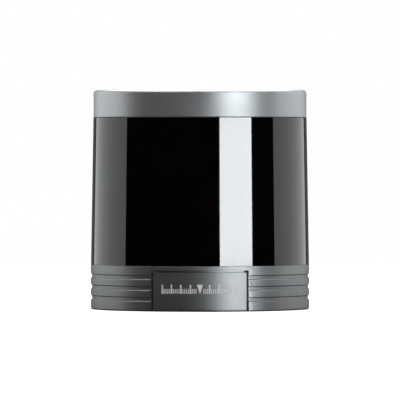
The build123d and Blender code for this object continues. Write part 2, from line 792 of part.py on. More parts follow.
with BuildPart() as optics_frame:
    block((-frame_side, frame_side), (-frame_front, frame_back), (platform_high, frame_top))
    block((-frame_side + frame_wall, frame_side - frame_wall),
          (-frame_front + frame_plate, frame_rear), (platform_high, frame_top),
          mode=Mode.SUBTRACT)
    for name, side in sides:
        rod(barrel_radius, side * lens_offset, optic_height, -frame_front,
            -frame_front + frame_plate, mode=Mode.SUBTRACT)
        block((side * lens_offset - 8, side * lens_offset + 8), (frame_rear, frame_back),
              (optic_height - 12, optic_height + 12), mode=Mode.SUBTRACT)
        inner_wall = side * (frame_side - frame_wall)
        tab = sorted((inner_wall, inner_wall - side * frame_foot))
        block(tab, (-7, 7), (platform_high, foot_high))
    posts(m25_radius + slip, platform_high, foot_high, frame_screws_at, mode=Mode.SUBTRACT)
    for x, z in pillars_at:
        rod(2.2, x, z, frame_back, control_low)
save(optics_frame, "optics_frame")

with BuildPart() as rotor_screws:
    posts(m25_head_radius, platform_high, platform_high + m25_head_height, rotor_screws_at)
    posts(m25_radius, bell_low + 0.3, platform_high, rotor_screws_at)
    posts(m25_head_radius, foot_high, foot_high + m25_head_height, frame_screws_at)
    posts(m25_radius, platform_low + 0.2, foot_high, frame_screws_at)
save(rotor_screws, "rotor_screws")

lens_radius = barrel_radius - barrel_wall
lens_front = barrel_front - lens_setback
lens_back = lens_front - lens_thickness
emitter_board_low = platform_high + 3.0
emitter_board_high = frame_top - 2.0
board_back = frame_rear

for name, side in sides:
    axis_x = side * lens_offset

    with BuildPart() as lens:
        with BuildSketch(Plane.XY.offset(optic_height)) as lens_half:
            with BuildLine():
                sagitta = lens_thickness - lens_edge
                dome = (lens_radius ** 2 + sagitta ** 2) / (2 * sagitta)
                Polyline((axis_x, -lens_front), (axis_x, -lens_back),
                         (axis_x + lens_radius, -lens_back),
                         (axis_x + lens_radius, -lens_back - lens_edge))
                RadiusArc((axis_x + lens_radius, -lens_back - lens_edge),
                          (axis_x, -lens_front), dome)
            make_face()
        revolve(lens_half.sketch, axis=Axis((axis_x, 0, optic_height), (0, 1, 0)))
    save(lens, f"{name}_lens")

    with BuildPart() as board:
        x_low, x_high = sorted((side * 8.0, side * 33.0))
        block((x_low, x_high), (board_back - board_thickness, board_back),
              (emitter_board_low, emitter_board_high))
    save(board, f"{name}_board")

board_face = board_back - board_thickness
laser_pitch = 1.5

with BuildPart() as laser_diodes:
    for i in range(laser_count):
        z = optic_height + (i - (laser_count - 1) / 2) * laser_pitch
        block((-lens_offset - 1.1, -lens_offset + 1.1), (board_face - 1.5, board_face),
              (z - 0.5, z + 0.5))
save(laser_diodes, "laser_diodes")

with BuildPart() as detector_array:
    block((lens_offset - 3, lens_offset + 3), (board_face - 1.4, board_face),
          (optic_height - 11.5, optic_height + 11.5))
save(detector_array, "detector_array")

with BuildPart() as lens_barrels:
    for name, side in sides:
        axis_x = side * lens_offset
        rod(barrel_radius, axis_x, optic_height, -barrel_front, -barrel_back)
        rod(barrel_radius + 1.7, axis_x, optic_height, -frame_front - barrel_flange, -frame_front)
        rod(lens_radius, axis_x, optic_height, -barrel_front, -barrel_back, mode=Mode.SUBTRACT)
save(lens_barrels, "lens_barrels")

with BuildPart() as light_baffles:
    for name, side in sides:
        x_low, x_high = sorted((side * (hub_outer + 1.0), side * (hub_outer + 14.2)))
        z_low, z_high = optic_height - 13, optic_height + 13
        block((x_low, x_high), (-barrel_back + 0.4, 17.0), (z_low, z_high))
        block((x_low + 1, x_high - 1), (-barrel_back + 0.4, 17.0), (z_low + 1, z_high - 1),
              mode=Mode.SUBTRACT)
save(light_baffles, "light_baffles")

with BuildPart() as lens_rings:
    for name, side in sides:
        rod(lens_radius, side * lens_offset, optic_height, -lens_front + 0.8, -lens_front + 2.6)
        rod(lens_radius - 1.2, side * lens_offset, optic_height, -lens_front + 0.8,
            -lens_front + 2.6, mode=Mode.SUBTRACT)
save(lens_rings, "lens_rings")

# ================================================================ rotor: electronics
with BuildPart() as control_board:
    block((-32, 32), (control_low, control_high), (platform_high + 6, frame_top - 2))
save(control_board, "control_board")

with BuildPart() as power_board:
    ring(40.0, hub_outer + board_gap, frame_top, frame_top + board_thickness)
save(power_board, "power_board")

with BuildPart() as rotor_components:
    block((-9, 9), (control_high, control_high + 2.0), (optic_height - 9, optic_height + 9))
    for side in (-1, 1):
        low, high = sorted((side * 14, side * 24))
        block((low, high), (control_high, control_high + 1.2), (optic_height + 2, optic_height + 10))
        block((low, high), (control_high, control_high + 1.2), (optic_height - 12, optic_height - 4))
    board_top = frame_top + board_thickness
    for x, y in ((-27, 12), (27, 12), (0, 29)):
        block((x - 4, x + 4), (y - 4, y + 4), (board_top, board_top + 3.6))
save(rotor_components, "rotor_components")
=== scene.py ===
import json
import math

import bmesh
import bpy
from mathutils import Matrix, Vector


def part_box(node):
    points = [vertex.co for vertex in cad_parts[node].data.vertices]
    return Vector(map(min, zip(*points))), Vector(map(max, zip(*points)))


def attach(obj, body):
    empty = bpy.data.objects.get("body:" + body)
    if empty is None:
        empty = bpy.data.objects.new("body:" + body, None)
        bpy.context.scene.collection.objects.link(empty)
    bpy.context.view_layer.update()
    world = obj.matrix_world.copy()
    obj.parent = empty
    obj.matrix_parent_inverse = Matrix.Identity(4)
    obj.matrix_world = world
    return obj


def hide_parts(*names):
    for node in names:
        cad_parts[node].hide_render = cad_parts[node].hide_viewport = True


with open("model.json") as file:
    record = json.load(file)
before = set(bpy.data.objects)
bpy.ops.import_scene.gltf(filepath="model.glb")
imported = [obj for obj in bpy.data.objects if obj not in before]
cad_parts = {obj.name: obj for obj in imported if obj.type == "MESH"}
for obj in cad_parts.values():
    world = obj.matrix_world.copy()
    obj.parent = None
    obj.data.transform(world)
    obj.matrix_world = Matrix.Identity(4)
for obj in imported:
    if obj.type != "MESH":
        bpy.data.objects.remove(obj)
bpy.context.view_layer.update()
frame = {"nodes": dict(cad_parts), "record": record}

nodes = frame["nodes"]
MM = 0.001

# ---------------------------------------------------------------- sizes, read from the frame (mm)


def low(node):
    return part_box(node)[0] / MM


def high(node):
    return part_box(node)[1] / MM


FIT_GAP = 0.1                   # round a part that sits in another

BASE_R = high("base_housing").x
BASE_TOP = low("window").z
BASE_WALL = 10.5
CAVITY_R = BASE_R - BASE_WALL
FOOT_RIM = 3.5                  # housing left outside the base plate, and as deep
FOOT_EDGE = 0.6
GROOVE_TOPS = (7.15, 12.55, 17.95)
GROOVE_WIDTH = 2.3
GROOVE_DEPTH = 0.6
GROOVE_SLOPE = 0.4
DECK_DROP = 0.4
DECK_LOW = 4.0                  # deck's underside below the window's lower edge
DECK_BORE = 10.1

WINDOW_LOW_R = high("window").x
WINDOW_HIGH = high("window").z
WINDOW_TAPER = 1.23
WINDOW_HIGH_R = WINDOW_LOW_R - WINDOW_TAPER
WINDOW_WALL = 2.8
SPIGOT_HEIGHT = 5.0             # rings of the base and the cap inside the window's ends
SPIGOT_WALL = 3.0
SEAL_LIFT = 1.5
SEAL_HEIGHT = 2.0
SEAL_DEPTH = 1.2

CAP_R = high("top_cap").x
CAP_TOP = high("top_cap").z
CAP_CORNER = 1.8
CAP_FOOT_EDGE = 0.3
CAP_ROOF = 4.6                  # cap's top plate
BOSS_R = 8.0
SPINDLE_TOP = high("spindle").z
SCREW_BORE = 2.1
SCREW_HEAD_BORE = 3.6
SCREW_HEAD_DEPTH = 2.8
COVER_R = high("hub_cover").x
COVER_LOW = low("hub_cover").z
COVER_TOP = high("hub_cover").z
COVER_EDGE = 0.25

PLATE_LOW = low("badge_plate").z
PLATE_HIGH = high("badge_plate").z
PLATE_R = BASE_R - 0.5
PLATE_INNER = PLATE_R - 1.3
PLATE_HALF = 25.1               # degrees each side of the front
PLATE_EDGE = 0.15
POCKET_HALF = PLATE_HALF + math.degrees(1.0 / BASE_R)
POCKET_LOW = PLATE_LOW - 0.2
POCKET_HIGH = PLATE_HIGH + 0.95
SLOT_INNER = PLATE_INNER - 1.7  # slot above the badge
RIM_HALF = POCKET_HALF + math.degrees(1.7 / BASE_R)
RIM_DROP = 0.2                  # sloping rim at each end of the pocket
MARK_LOW = 8.9
MARK_HIGH = 13.4

SOCKET_Z = (low("socket_shell").z + high("socket_shell").z) / 2
SOCKET_BORE = 6.1
FLAT_HALF = 9.2                 # flat round the socket
FLAT_Y = BASE_R - 0.8
OUTSIDE = BASE_R + 1            # where the cutters of the housing end


def window_inner(z):
    """Radius of the window's inner wall at a height."""
    share = (z - BASE_TOP) / (WINDOW_HIGH - BASE_TOP)
    return WINDOW_LOW_R - WINDOW_TAPER * share - WINDOW_WALL


# ---------------------------------------------------------------- camera, world, light
camera = bpy.data.objects.new("camera", bpy.data.cameras.new("camera"))
bpy.context.scene.collection.objects.link(camera)
camera.data.sensor_width = 36.0
camera.data.lens = 491.2
camera.data.clip_start = 0.05
camera.data.clip_end = 50.0
camera.location = (0.0, -2.75, 0.0798)
aim = Vector((0.0, 0.0, 0.05480)) - camera.location
camera.rotation_mode = "QUATERNION"
camera.rotation_quaternion = aim.to_track_quat("-Z", "Y")
bpy.context.scene.camera = camera
bpy.context.scene.view_settings.view_transform = "Standard"
bpy.context.scene.view_settings.look = "None"

# white behind the object, nearly dark in its reflections
world = bpy.data.worlds.new("studio")
bpy.context.scene.world = world
world.use_nodes = True
tree = world.node_tree
tree.nodes.clear()
path = tree.nodes.new("ShaderNodeLightPath")
seen = tree.nodes.new("ShaderNodeBackground")
seen.inputs["Color"].default_value = (1.0, 1.0, 1.0, 1.0)
dim = tree.nodes.new("ShaderNodeBackground")
dim.inputs["Color"].default_value = (0.92, 0.96, 1.0, 1.0)
dim.inputs["Strength"].default_value = 0.012
mix = tree.nodes.new("ShaderNodeMixShader")
out = tree.nodes.new("ShaderNodeOutputWorld")
tree.links.new(path.outputs["Is Camera Ray"], mix.inputs["Fac"])
tree.links.new(dim.outputs[0], mix.inputs[1])
tree.links.new(seen.outputs[0], mix.inputs[2])
tree.links.new(mix.outputs[0], out.inputs["Surface"])


WALL = 2.5                      # lights round the object stand this far out (m)


def spanning(half_angle):
    """Width of a light on the wall that covers this angle each side of its middle."""
    return 2 * WALL * math.tan(math.radians(half_angle))


def softbox(name, azimuth, distance, z, width, height, radiance, colour=(1, 1, 1), aim_z=None):
    """Rectangular soft light, azimuth from the front towards +X, in metres.

    It faces the axis at its own height, or at aim_z.
    """
    light = bpy.data.lights.new(name, "AREA")
    light.shape = "RECTANGLE"
    light.size = width
    light.size_y = height
    light.energy = radiance * math.pi * width * height
    light.color = colour
    obj = bpy.data.objects.new(name, light)
    bpy.context.scene.collection.objects.link(obj)
    a = math.radians(azimuth)
    obj.location = (distance * math.sin(a), -distance * math.cos(a), z)
    target = Vector((0, 0, z if aim_z is None else aim_z))
    obj.rotation_mode = "QUATERNION"
    obj.rotation_quaternion = (target - obj.location).to_track_quat("-Z", "Y")
    obj.visible_camera = False


softbox("key_strip", 38.5, WALL, 0.125, spanning(17.75), 0.17, 21.2, (0.93, 0.98, 1.0))
softbox("left_panel", -117.5, WALL, 0.35, spanning(32.5), 1.1, 1.43, (0.97, 0.99, 1.0))
softbox("right_panel", 117.5, WALL, 0.35, spanning(32.5), 1.1, 1.45, (0.97, 0.99, 1.0))
softbox("overhead", 0.0, 0.001, 0.35, 0.7, 0.7, 3.25, (1.0, 0.985, 0.965), aim_z=0.0)
softbox("back_glow", 180.0, WALL, 0.45, spanning(29), 1.3, 0.13)

# ---------------------------------------------------------------- node helpers


class Shader:
    """One procedural material on a Principled shader."""

    def __init__(self, name, **values):
        self.mat = bpy.data.materials.new(name)
        self.mat.use_nodes = True
        self.tree = self.mat.node_tree
        self.main = self.tree.nodes["Principled BSDF"]
        for key, value in values.items():
            self.main.inputs[key.replace("_", " ")].default_value = value
        self.coords = self.add("ShaderNodeTexCoord").outputs["Object"]

    def add(self, kind, links=None, **values):
        node = self.tree.nodes.new(kind)
        for key, value in values.items():
            if hasattr(node, key):
                setattr(node, key, value)
            else:
                node.inputs[key.replace("_", " ")].default_value = value
        for socket, source in (links or {}).items():
            self.tree.links.new(source, node.inputs[socket])
        return node

    def link(self, source, socket):
        self.tree.links.new(source, self.main.inputs[socket])

    def noise(self, size, detail=3.0, roughness=0.55, coords=None, distortion=0.0):
        """Noise value with features of about size mm."""
        node = self.add("ShaderNodeTexNoise", {"Vector": coords or self.coords},
                        Scale=1.0 / (size * MM), Detail=detail, Roughness=roughness,
                        Distortion=distortion)
        return node.outputs["Fac"]

    def ramp(self, source, out_low, out_high, in_low=0.3, in_high=0.7):
        node = self.add("ShaderNodeMapRange", {"Value": source})
        for key, value in (("From Min", in_low), ("From Max", in_high),
                           ("To Min", out_low), ("To Max", out_high)):
            node.inputs[key].default_value = value
        return node.outputs["Result"]

    def math(self, operation, a, b):
        node = self.add("ShaderNodeMath", operation=operation)
        for i, source in enumerate((a, b)):
            if isinstance(source, (int, float)):
                node.inputs[i].default_value = source
            else:
                self.tree.links.new(source, node.inputs[i])
        return node.outputs[0]

    def mix(self, factor, a, b):
        """Colour mix; a and b are colours or sockets."""
        node = self.add("ShaderNodeMix", data_type="RGBA")
        if isinstance(factor, (int, float)):
            node.inputs[0].default_value = factor
        else:
            self.tree.links.new(factor, node.inputs[0])
        for i, source in ((6, a), (7, b)):
            if isinstance(source, tuple):
                node.inputs[i].default_value = (*source, 1.0)
            else:
                self.tree.links.new(source, node.inputs[i])
        return node.outputs[2]

    def edges(self, radius):
        """1 along convex and concave edges, 0 on open surface."""
        bevel = self.add("ShaderNodeBevel", samples=6, Radius=radius * MM)
        geometry = self.add("ShaderNodeNewGeometry")
        dot = self.add("ShaderNodeVectorMath", operation="DOT_PRODUCT")
        self.tree.links.new(bevel.outputs[0], dot.inputs[0])
        self.tree.links.new(geometry.outputs["Normal"], dot.inputs[1])
        return self.ramp(dot.outputs["Value"], 1.0, 0.0, 0.86, 0.995)

    def bump(self, height, depth, strength=1.0, normal=None):
        """Bump of depth mm."""
        links = {"Height": height}
        if normal is not None:
            links["Normal"] = normal
        node = self.add("ShaderNodeBump", links, Strength=strength, Distance=depth * MM)
        return node.outputs["Normal"]


def satin_metal(name, colour, rough, grain=0.55, depth=0.010, contrast=0.07, edge_wear_and_highlight=0.25,
                turned=0.0, colour_shift=(0.97, 1.0, 1.03), painted_foot_shade=1.0):
    """Blasted, anodised or turned metal: fine grain, slow cloudiness, edges lightened by wear and
    by a painted highlight.

    turned is the pitch of the lathe marks; the last argument is the share of colour left at the
    foot, a painted shade that darkens the metal towards the bottom.
    """
    s = Shader(name, Metallic=1.0)
    fine = s.noise(grain, 5.0, 0.62)
    speck = s.noise(grain * 0.28, 2.0, 0.5)
    cloud = s.noise(23.0, 3.0, 0.5, distortion=0.4)
    darker = tuple(c * (1.0 - contrast) for c in colour)
    lighter = tuple(min(1.0, c * (1.0 + contrast)) for c in colour)
    tone = s.mix(s.ramp(fine, 0.0, 1.0, 0.32, 0.68), darker, lighter)
    tinted = tuple(c * k for c, k in zip(colour, colour_shift))
    tone = s.mix(s.ramp(cloud, 0.0, 0.45), tone, tinted)
    # edges: worn bare metal and partly a painted highlight, lighter in colour and a little
    # smoother
    edge = s.math("MULTIPLY", s.edges(0.30), s.ramp(s.noise(1.4, 3.0), 0.4, 1.0))
    bright = tuple(min(1.0, c * 1.25 + 0.06) for c in colour)
    tone = s.mix(s.math("MULTIPLY", edge, edge_wear_and_highlight), tone, bright)
    # painted shade: the colour darkens towards the foot, standing in for light falling off lower
    # down
    if painted_foot_shade < 1.0:
        split = s.add("ShaderNodeSeparateXYZ", {"Vector": s.coords})
        share = s.ramp(split.outputs["Z"], painted_foot_shade, 1.0, 0.0, BASE_TOP * MM)
        tone = s.mix(share, (0.0, 0.0, 0.0), tone)
    s.link(tone, "Base Color")
    roughness = s.math("ADD", s.ramp(speck, rough - 0.035, rough + 0.035),
                       s.ramp(cloud, -0.02, 0.02))
    s.link(s.math("SUBTRACT", roughness, s.math("MULTIPLY", edge, 0.08 * edge_wear_and_highlight * 4)), "Roughness")
    height = s.math("ADD", fine, s.math("MULTIPLY", speck, 0.5))
    if turned:
        split = s.add("ShaderNodeSeparateXYZ", {"Vector": s.coords})
        square = s.math("ADD", s.math("POWER", split.outputs["X"], 2.0),
                        s.math("POWER", split.outputs["Y"], 2.0))
        radius = s.math("SQRT", square, 0.0)
        line = s.add("ShaderNodeCombineXYZ", {"X": radius, "Y": split.outputs["Z"]})
        rings = s.noise(turned, 2.0, 0.6, coords=line.outputs[0])
        height = s.math("ADD", height, s.math("MULTIPLY", rings, 1.6))
    s.link(s.bump(height, depth), "Normal")
    return s.mat


def moulded(name, colour, rough, grain=0.35, depth=0.012, contrast=0.12, dust=0.06, **values):
    """Moulded plastic or rubber: spark-eroded grain, flow variation, dust in the open."""
    s = Shader(name, **values)
    grainy = s.noise(grain, 3.0, 0.6)
    flow = s.noise(14.0, 4.0, 0.5, distortion=1.2)
    darker = tuple(c * (1.0 - contrast) for c in colour)
    lighter = tuple(c * (1.0 + contrast) for c in colour)
    tone = s.mix(s.ramp(flow, 0.0, 1.0), darker, lighter)
    pale = tuple(c + 0.10 for c in colour)
    tone = s.mix(s.math("MULTIPLY", s.edges(0.25), dust * 3.0), tone, pale)
    tone = s.mix(s.ramp(s.noise(2.1, 6.0, 0.7), 0.0, dust, 0.45, 0.75), tone, pale)
    s.link(tone, "Base Color")
    s.link(s.math("ADD", s.ramp(grainy, rough - 0.05, rough + 0.05),
                  s.ramp(flow, -0.03, 0.03)), "Roughness")
    s.link(s.bump(grainy, depth), "Normal")
    return s.mat


def window_gloss(name):
    """Polished black infrared window: deep gloss with faint haze and swirl."""
    s = Shader(name, IOR=1.5, Specular_IOR_Level=0.5)
    haze = s.noise(18.0, 5.0, 0.6, distortion=0.8)
    swirl = s.noise(3.2, 4.0, 0.6)
    s.link(s.mix(s.ramp(haze, 0.0, 1.0), (0.0004, 0.0004, 0.0005), (0.0009, 0.0009, 0.0010)),
           "Base Color")
    s.link(s.math("ADD", s.ramp(haze, 0.025, 0.045), s.ramp(swirl, 0.0, 0.012)), "Roughness")
    s.link(s.bump(s.noise(9.0, 2.0, 0.4), 0.0008), "Normal")
    return s.mat


def lacquered_wire(name):
    """Copper windings: fine parallel turns under lacquer."""
    s = Shader(name, Metallic=1.0, Coat_Weight=0.5, Coat_Roughness=0.15)
    wave = s.add("ShaderNodeTexWave", {"Vector": s.coords}, wave_type="BANDS",
                 bands_direction="Z", Scale=420.0, Distortion=1.5, Detail=2.0,
                 Detail_Scale=2.0)
    turns = wave.outputs["Fac"]
    cloud = s.noise(4.0, 4.0)
    tone = s.mix(s.ramp(turns, 0.0, 1.0, 0.1, 0.9), (0.30, 0.095, 0.035), (0.72, 0.30, 0.13))
    s.link(s.mix(s.ramp(cloud, 0.0, 0.35), tone, (0.42, 0.12, 0.04)), "Base Color")
    s.link(s.ramp(cloud, 0.22, 0.38), "Roughness")
    s.link(s.bump(turns, 0.08), "Normal")
    return s.mat


def circuit_board(name):
    """Solder mask over copper tracks, with tinned pads."""
    s = Shader(name, Coat_Weight=0.25, Coat_Roughness=0.2)
    tracks = s.add("ShaderNodeTexBrick", {"Vector": s.coords}, Scale=210.0, Mortar_Size=0.018,
                   Mortar_Smooth=0.2, Bias=0.0, Brick_Width=0.5, Row_Height=0.25)
    dots = s.add("ShaderNodeTexVoronoi", {"Vector": s.coords}, feature="F1", Scale=340.0,
                 Randomness=0.35)
    pad = s.ramp(dots.outputs["Distance"], 1.0, 0.0, 0.16, 0.19)
    patch = s.ramp(s.noise(7.0, 2.0), 0.0, 1.0, 0.52, 0.58)
    pad = s.math("MULTIPLY", pad, patch)
    green = s.mix(s.ramp(s.noise(11.0, 4.0), 0.0, 1.0), (0.010, 0.085, 0.038),
                  (0.016, 0.125, 0.055))
    over = s.mix(tracks.outputs["Fac"], green, (0.035, 0.19, 0.075))
    s.link(s.mix(pad, over, (0.72, 0.70, 0.62)), "Base Color")
    s.link(s.ramp(pad, 0.36, 0.24, 0.0, 1.0), "Roughness")
    s.link(s.ramp(pad, 0.0, 1.0, 0.0, 1.0), "Metallic")
    s.link(s.bump(s.math("ADD", tracks.outputs["Fac"], pad), 0.035), "Normal")
    return s.mat


def coated_glass(name):
    """Lens glass with a faint coating and a little dust."""
    s = Shader(name, IOR=1.62, Transmission_Weight=0.92, Coat_Weight=0.4, Coat_Roughness=0.05)
    dust = s.ramp(s.noise(0.6, 6.0, 0.7), 0.0, 0.12, 0.55, 0.8)
    s.link(s.mix(dust, (0.74, 0.70, 0.86), (0.80, 0.80, 0.78)), "Base Color")
    s.link(s.math("ADD", s.ramp(s.noise(7.0, 3.0), 0.015, 0.04), dust), "Roughness")
    s.link(s.bump(s.noise(6.0, 2.0, 0.4), 0.0006), "Normal")
    return s.mat


# ---------------------------------------------------------------- materials by record slot
finish = {
    "cap_aluminium": satin_metal("cap_satin", (0.453, 0.461, 0.469), 0.42),
    # the base carries painted shade, darker towards its foot
    "base_aluminium": satin_metal("base_satin", (0.345, 0.349, 0.355), 0.40, grain=0.5,
                                  painted_foot_shade=0.82),
    "machined_aluminium": satin_metal("machined_alloy", (0.68, 0.68, 0.69), 0.34, grain=0.4,
                                      depth=0.006, turned=0.25),
    "window_plastic": window_gloss("window_gloss"),
    "seal_rubber": moulded("seal_rubber", (0.016, 0.016, 0.017), 0.78, grain=0.25, depth=0.02),
    "screw_steel": satin_metal("screw_steel", (0.52, 0.53, 0.55), 0.30, grain=0.3, depth=0.004,
                               edge_wear_and_highlight=0.5, turned=0.12),
    "black_screw": satin_metal("black_oxide", (0.055, 0.056, 0.06), 0.38, grain=0.3,
                               depth=0.005, edge_wear_and_highlight=0.8),
    "bearing_steel": satin_metal("bearing_steel", (0.66, 0.67, 0.69), 0.14, grain=0.5,
                                 depth=0.0015, contrast=0.03, turned=0.10),
    "shaft_steel": satin_metal("ground_shaft", (0.60, 0.61, 0.63), 0.22, grain=0.4, depth=0.002,
                               contrast=0.04, turned=0.09),
    "core_steel": satin_metal("laminated_core", (0.30, 0.31, 0.33), 0.45, grain=0.35,
                              depth=0.02, turned=0.35),
    "copper_winding": lacquered_wire("lacquered_copper"),
    "magnet_coating": satin_metal("nickel_plate", (0.50, 0.49, 0.46), 0.24, grain=0.8,
                                  depth=0.004),
    "black_plastic": moulded("black_plastic", (0.018, 0.018, 0.020), 0.46),
    "grey_plastic": moulded("grey_plastic", (0.17, 0.175, 0.18), 0.42),
    "board_green": circuit_board("circuit_board"),
    "component_black": moulded("epoxy_package", (0.022, 0.022, 0.024), 0.55, grain=0.18),
    "black_anodised": satin_metal("black_anodised", (0.040, 0.041, 0.044), 0.42, grain=0.3,
                                  depth=0.006, edge_wear_and_highlight=0.6),
    "lens_glass": coated_glass("lens_glass"),
    "contact_gold": satin_metal("contact_gold", (0.83, 0.60, 0.24), 0.20, grain=0.2,
                                depth=0.002, colour_shift=(1.0, 0.94, 0.82)),
    "cable_jacket": moulded("wire_jacket", (0.030, 0.030, 0.034), 0.50, grain=0.6),
    "emitter_ceramic": moulded("emitter_ceramic", (0.62, 0.60, 0.55), 0.48, grain=0.2,
                               contrast=0.05),
    "detector_case": moulded("detector_case", (0.055, 0.045, 0.07), 0.30, grain=0.4,
                             depth=0.003),
}
# the badge carries the same painted shade, darker towards its foot
plate_finish = satin_metal("badge_satin", (0.345, 0.349, 0.355), 0.40, grain=0.42, depth=0.008,
                           contrast=0.09, painted_foot_shade=0.82)
mark_finish = moulded("mark_ink", (0.80, 0.80, 0.80), 0.55, grain=0.3, depth=0.004,
                      contrast=0.06)

for part in frame["record"]["subparts"]:
    for holder in nodes[part["node"]].material_slots:
        holder.material = finish[part["material_slot"]]

# ---------------------------------------------------------------- mesh helpers (mm)


def piece(name, verts, faces, material, slot, *stands_for, body="housing", sharp=24.0):
    """Mesh piece with smooth faces and sharp corners, riding on its body."""
    mesh = bpy.data.meshes.new(name)
    build = bmesh.new()
    made = [build.verts.new((x * MM, y * MM, z * MM)) for x, y, z in verts]
    for face in faces:
        build.faces.new([made[i] for i in face])
    bmesh.ops.remove_doubles(build, verts=build.verts, dist=1e-7)
    bmesh.ops.recalc_face_normals(build, faces=build.faces)
    build.to_mesh(mesh)
    build.free()
    obj = bpy.data.objects.new(name, mesh)
    bpy.context.scene.collection.objects.link(obj)
    finishing(obj, sharp)
    mesh.materials.append(material)
    if stands_for:
        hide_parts(*stands_for)
    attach(obj, body)
    return obj


def finishing(obj, sharp):
    """Smooth faces, with edges kept sharp above this angle."""
    obj.data.polygons.foreach_set("use_smooth", [True] * len(obj.data.polygons))
    obj.data.set_sharp_from_angle(angle=math.radians(sharp))


def rounded(corners, steps=5, hold=0.06):
    """Outline from (radius, height, fillet) corners, with a holding point beside each arc."""
    points = []
    count = len(corners)
    for i, (r, z, fillet) in enumerate(corners):
        here = Vector((r, z))
        if fillet == 0:
            points.append(here)
            continue
        to_last = (Vector(corners[i - 1][:2]) - here).normalized()
        to_next = (Vector(corners[(i + 1) % count][:2]) - here).normalized()
        half = to_last.angle(to_next) / 2
        reach = fillet / math.tan(half)
        centre = here + (to_last + to_next).normalized() * (fillet / math.sin(half))
        start = here + to_last * reach - centre
        turn = start.angle_signed(here + to_next * reach - centre)
        points.append(here + to_last * (reach + hold))
        for k in range(steps + 1):
            a = -turn * k / steps
            points.append(centre + Vector((start.x * math.cos(a) - start.y * math.sin(a),
                                           start.x * math.sin(a) + start.y * math.cos(a))))
        points.append(here + to_next * (reach + hold))
    return [tuple(p) for p in points]


def lathe(outline, segments=360):
    """Vertices and faces of a closed outline turned about Z."""
    verts, faces, rings = [], [], []
    for r, z in outline:
        first = len(verts)
        if r == 0:
            verts.append((0.0, 0.0, z))
            rings.append([first] * segments)
            continue
        for i in range(segments):
            a = 2 * math.pi * (i + 0.5) / segments
            verts.append((r * math.cos(a), r * math.sin(a), z))
        rings.append(list(range(first, first + segments)))
    for a, b in zip(rings, rings[1:] + rings[:1]):
        for i in range(segments):
            j = (i + 1) % segments
            loop = list(dict.fromkeys((a[i], a[j], b[j], b[i])))
            if len(loop) > 2:
                faces.append(tuple(loop))
    return verts, faces


def tube(outline, segments, x, z):
    """The same outline of (radius, y) turned about an axis along Y."""
    verts, faces = lathe(outline, segments)
    return [(x + vx, vz, z + vy) for vx, vy, vz in verts], faces


def cut(obj, *cutters):
    """Subtract the cutters' meshes, and keep the result as plain mesh."""
    for verts, faces in cutters:
        mesh = bpy.data.meshes.new("cutter")
        build = bmesh.new()
        made = [build.verts.new((x * MM, y * MM, z * MM)) for x, y, z in verts]
        for face in faces:
            build.faces.new([made[i] for i in face])
        bmesh.ops.recalc_face_normals(build, faces=build.faces)
        build.to_mesh(mesh)
        build.free()
        tool = bpy.data.objects.new("cutter", mesh)
        bpy.context.scene.collection.objects.link(tool)
        boolean = obj.modifiers.new("cut", "BOOLEAN")
        boolean.operation = "DIFFERENCE"
        boolean.solver = "EXACT"
        boolean.object = tool
        bpy.context.view_layer.update()
        result = bpy.data.meshes.new_from_object(
            obj.evaluated_get(bpy.context.evaluated_depsgraph_get()))
        obj.modifiers.clear()
        obj.data = result
        bpy.data.objects.remove(tool)
    finishing(obj, 24.0)


def grid(rows):
    """Faces between equally long rows of points that are closed into a loop each."""
    verts = [point for row in rows for point in row]
    width = len(rows[0])
    faces = []
    for i in range(len(rows) - 1):
        for j in range(width):
            k = (j + 1) % width
            faces.append((i * width + j, i * width + k, (i + 1) * width + k, (i + 1) * width + j))
    faces.append(tuple(range(width)))
    faces.append(tuple((len(rows) - 1) * width + j for j in range(width)))
    return verts, faces


def polar(radius, degrees_from_front, z):
    """Point on a cylinder about Z, its angle counted from the front towards +X."""
    a = math.radians(degrees_from_front)
    return (radius * math.sin(a), -radius * math.cos(a), z)


# ---------------------------------------------------------------- window
inner_low, inner_high = window_inner(BASE_TOP), window_inner(WINDOW_HIGH)
piece("window_shell", *lathe(rounded([
    (WINDOW_LOW_R, BASE_TOP, 0.10),
    (WINDOW_HIGH_R, WINDOW_HIGH, 0.10),
    (inner_high, WINDOW_HIGH, 0.10),
    (inner_low, BASE_TOP, 0.10),
])), finish["window_plastic"], "window_plastic", "window")

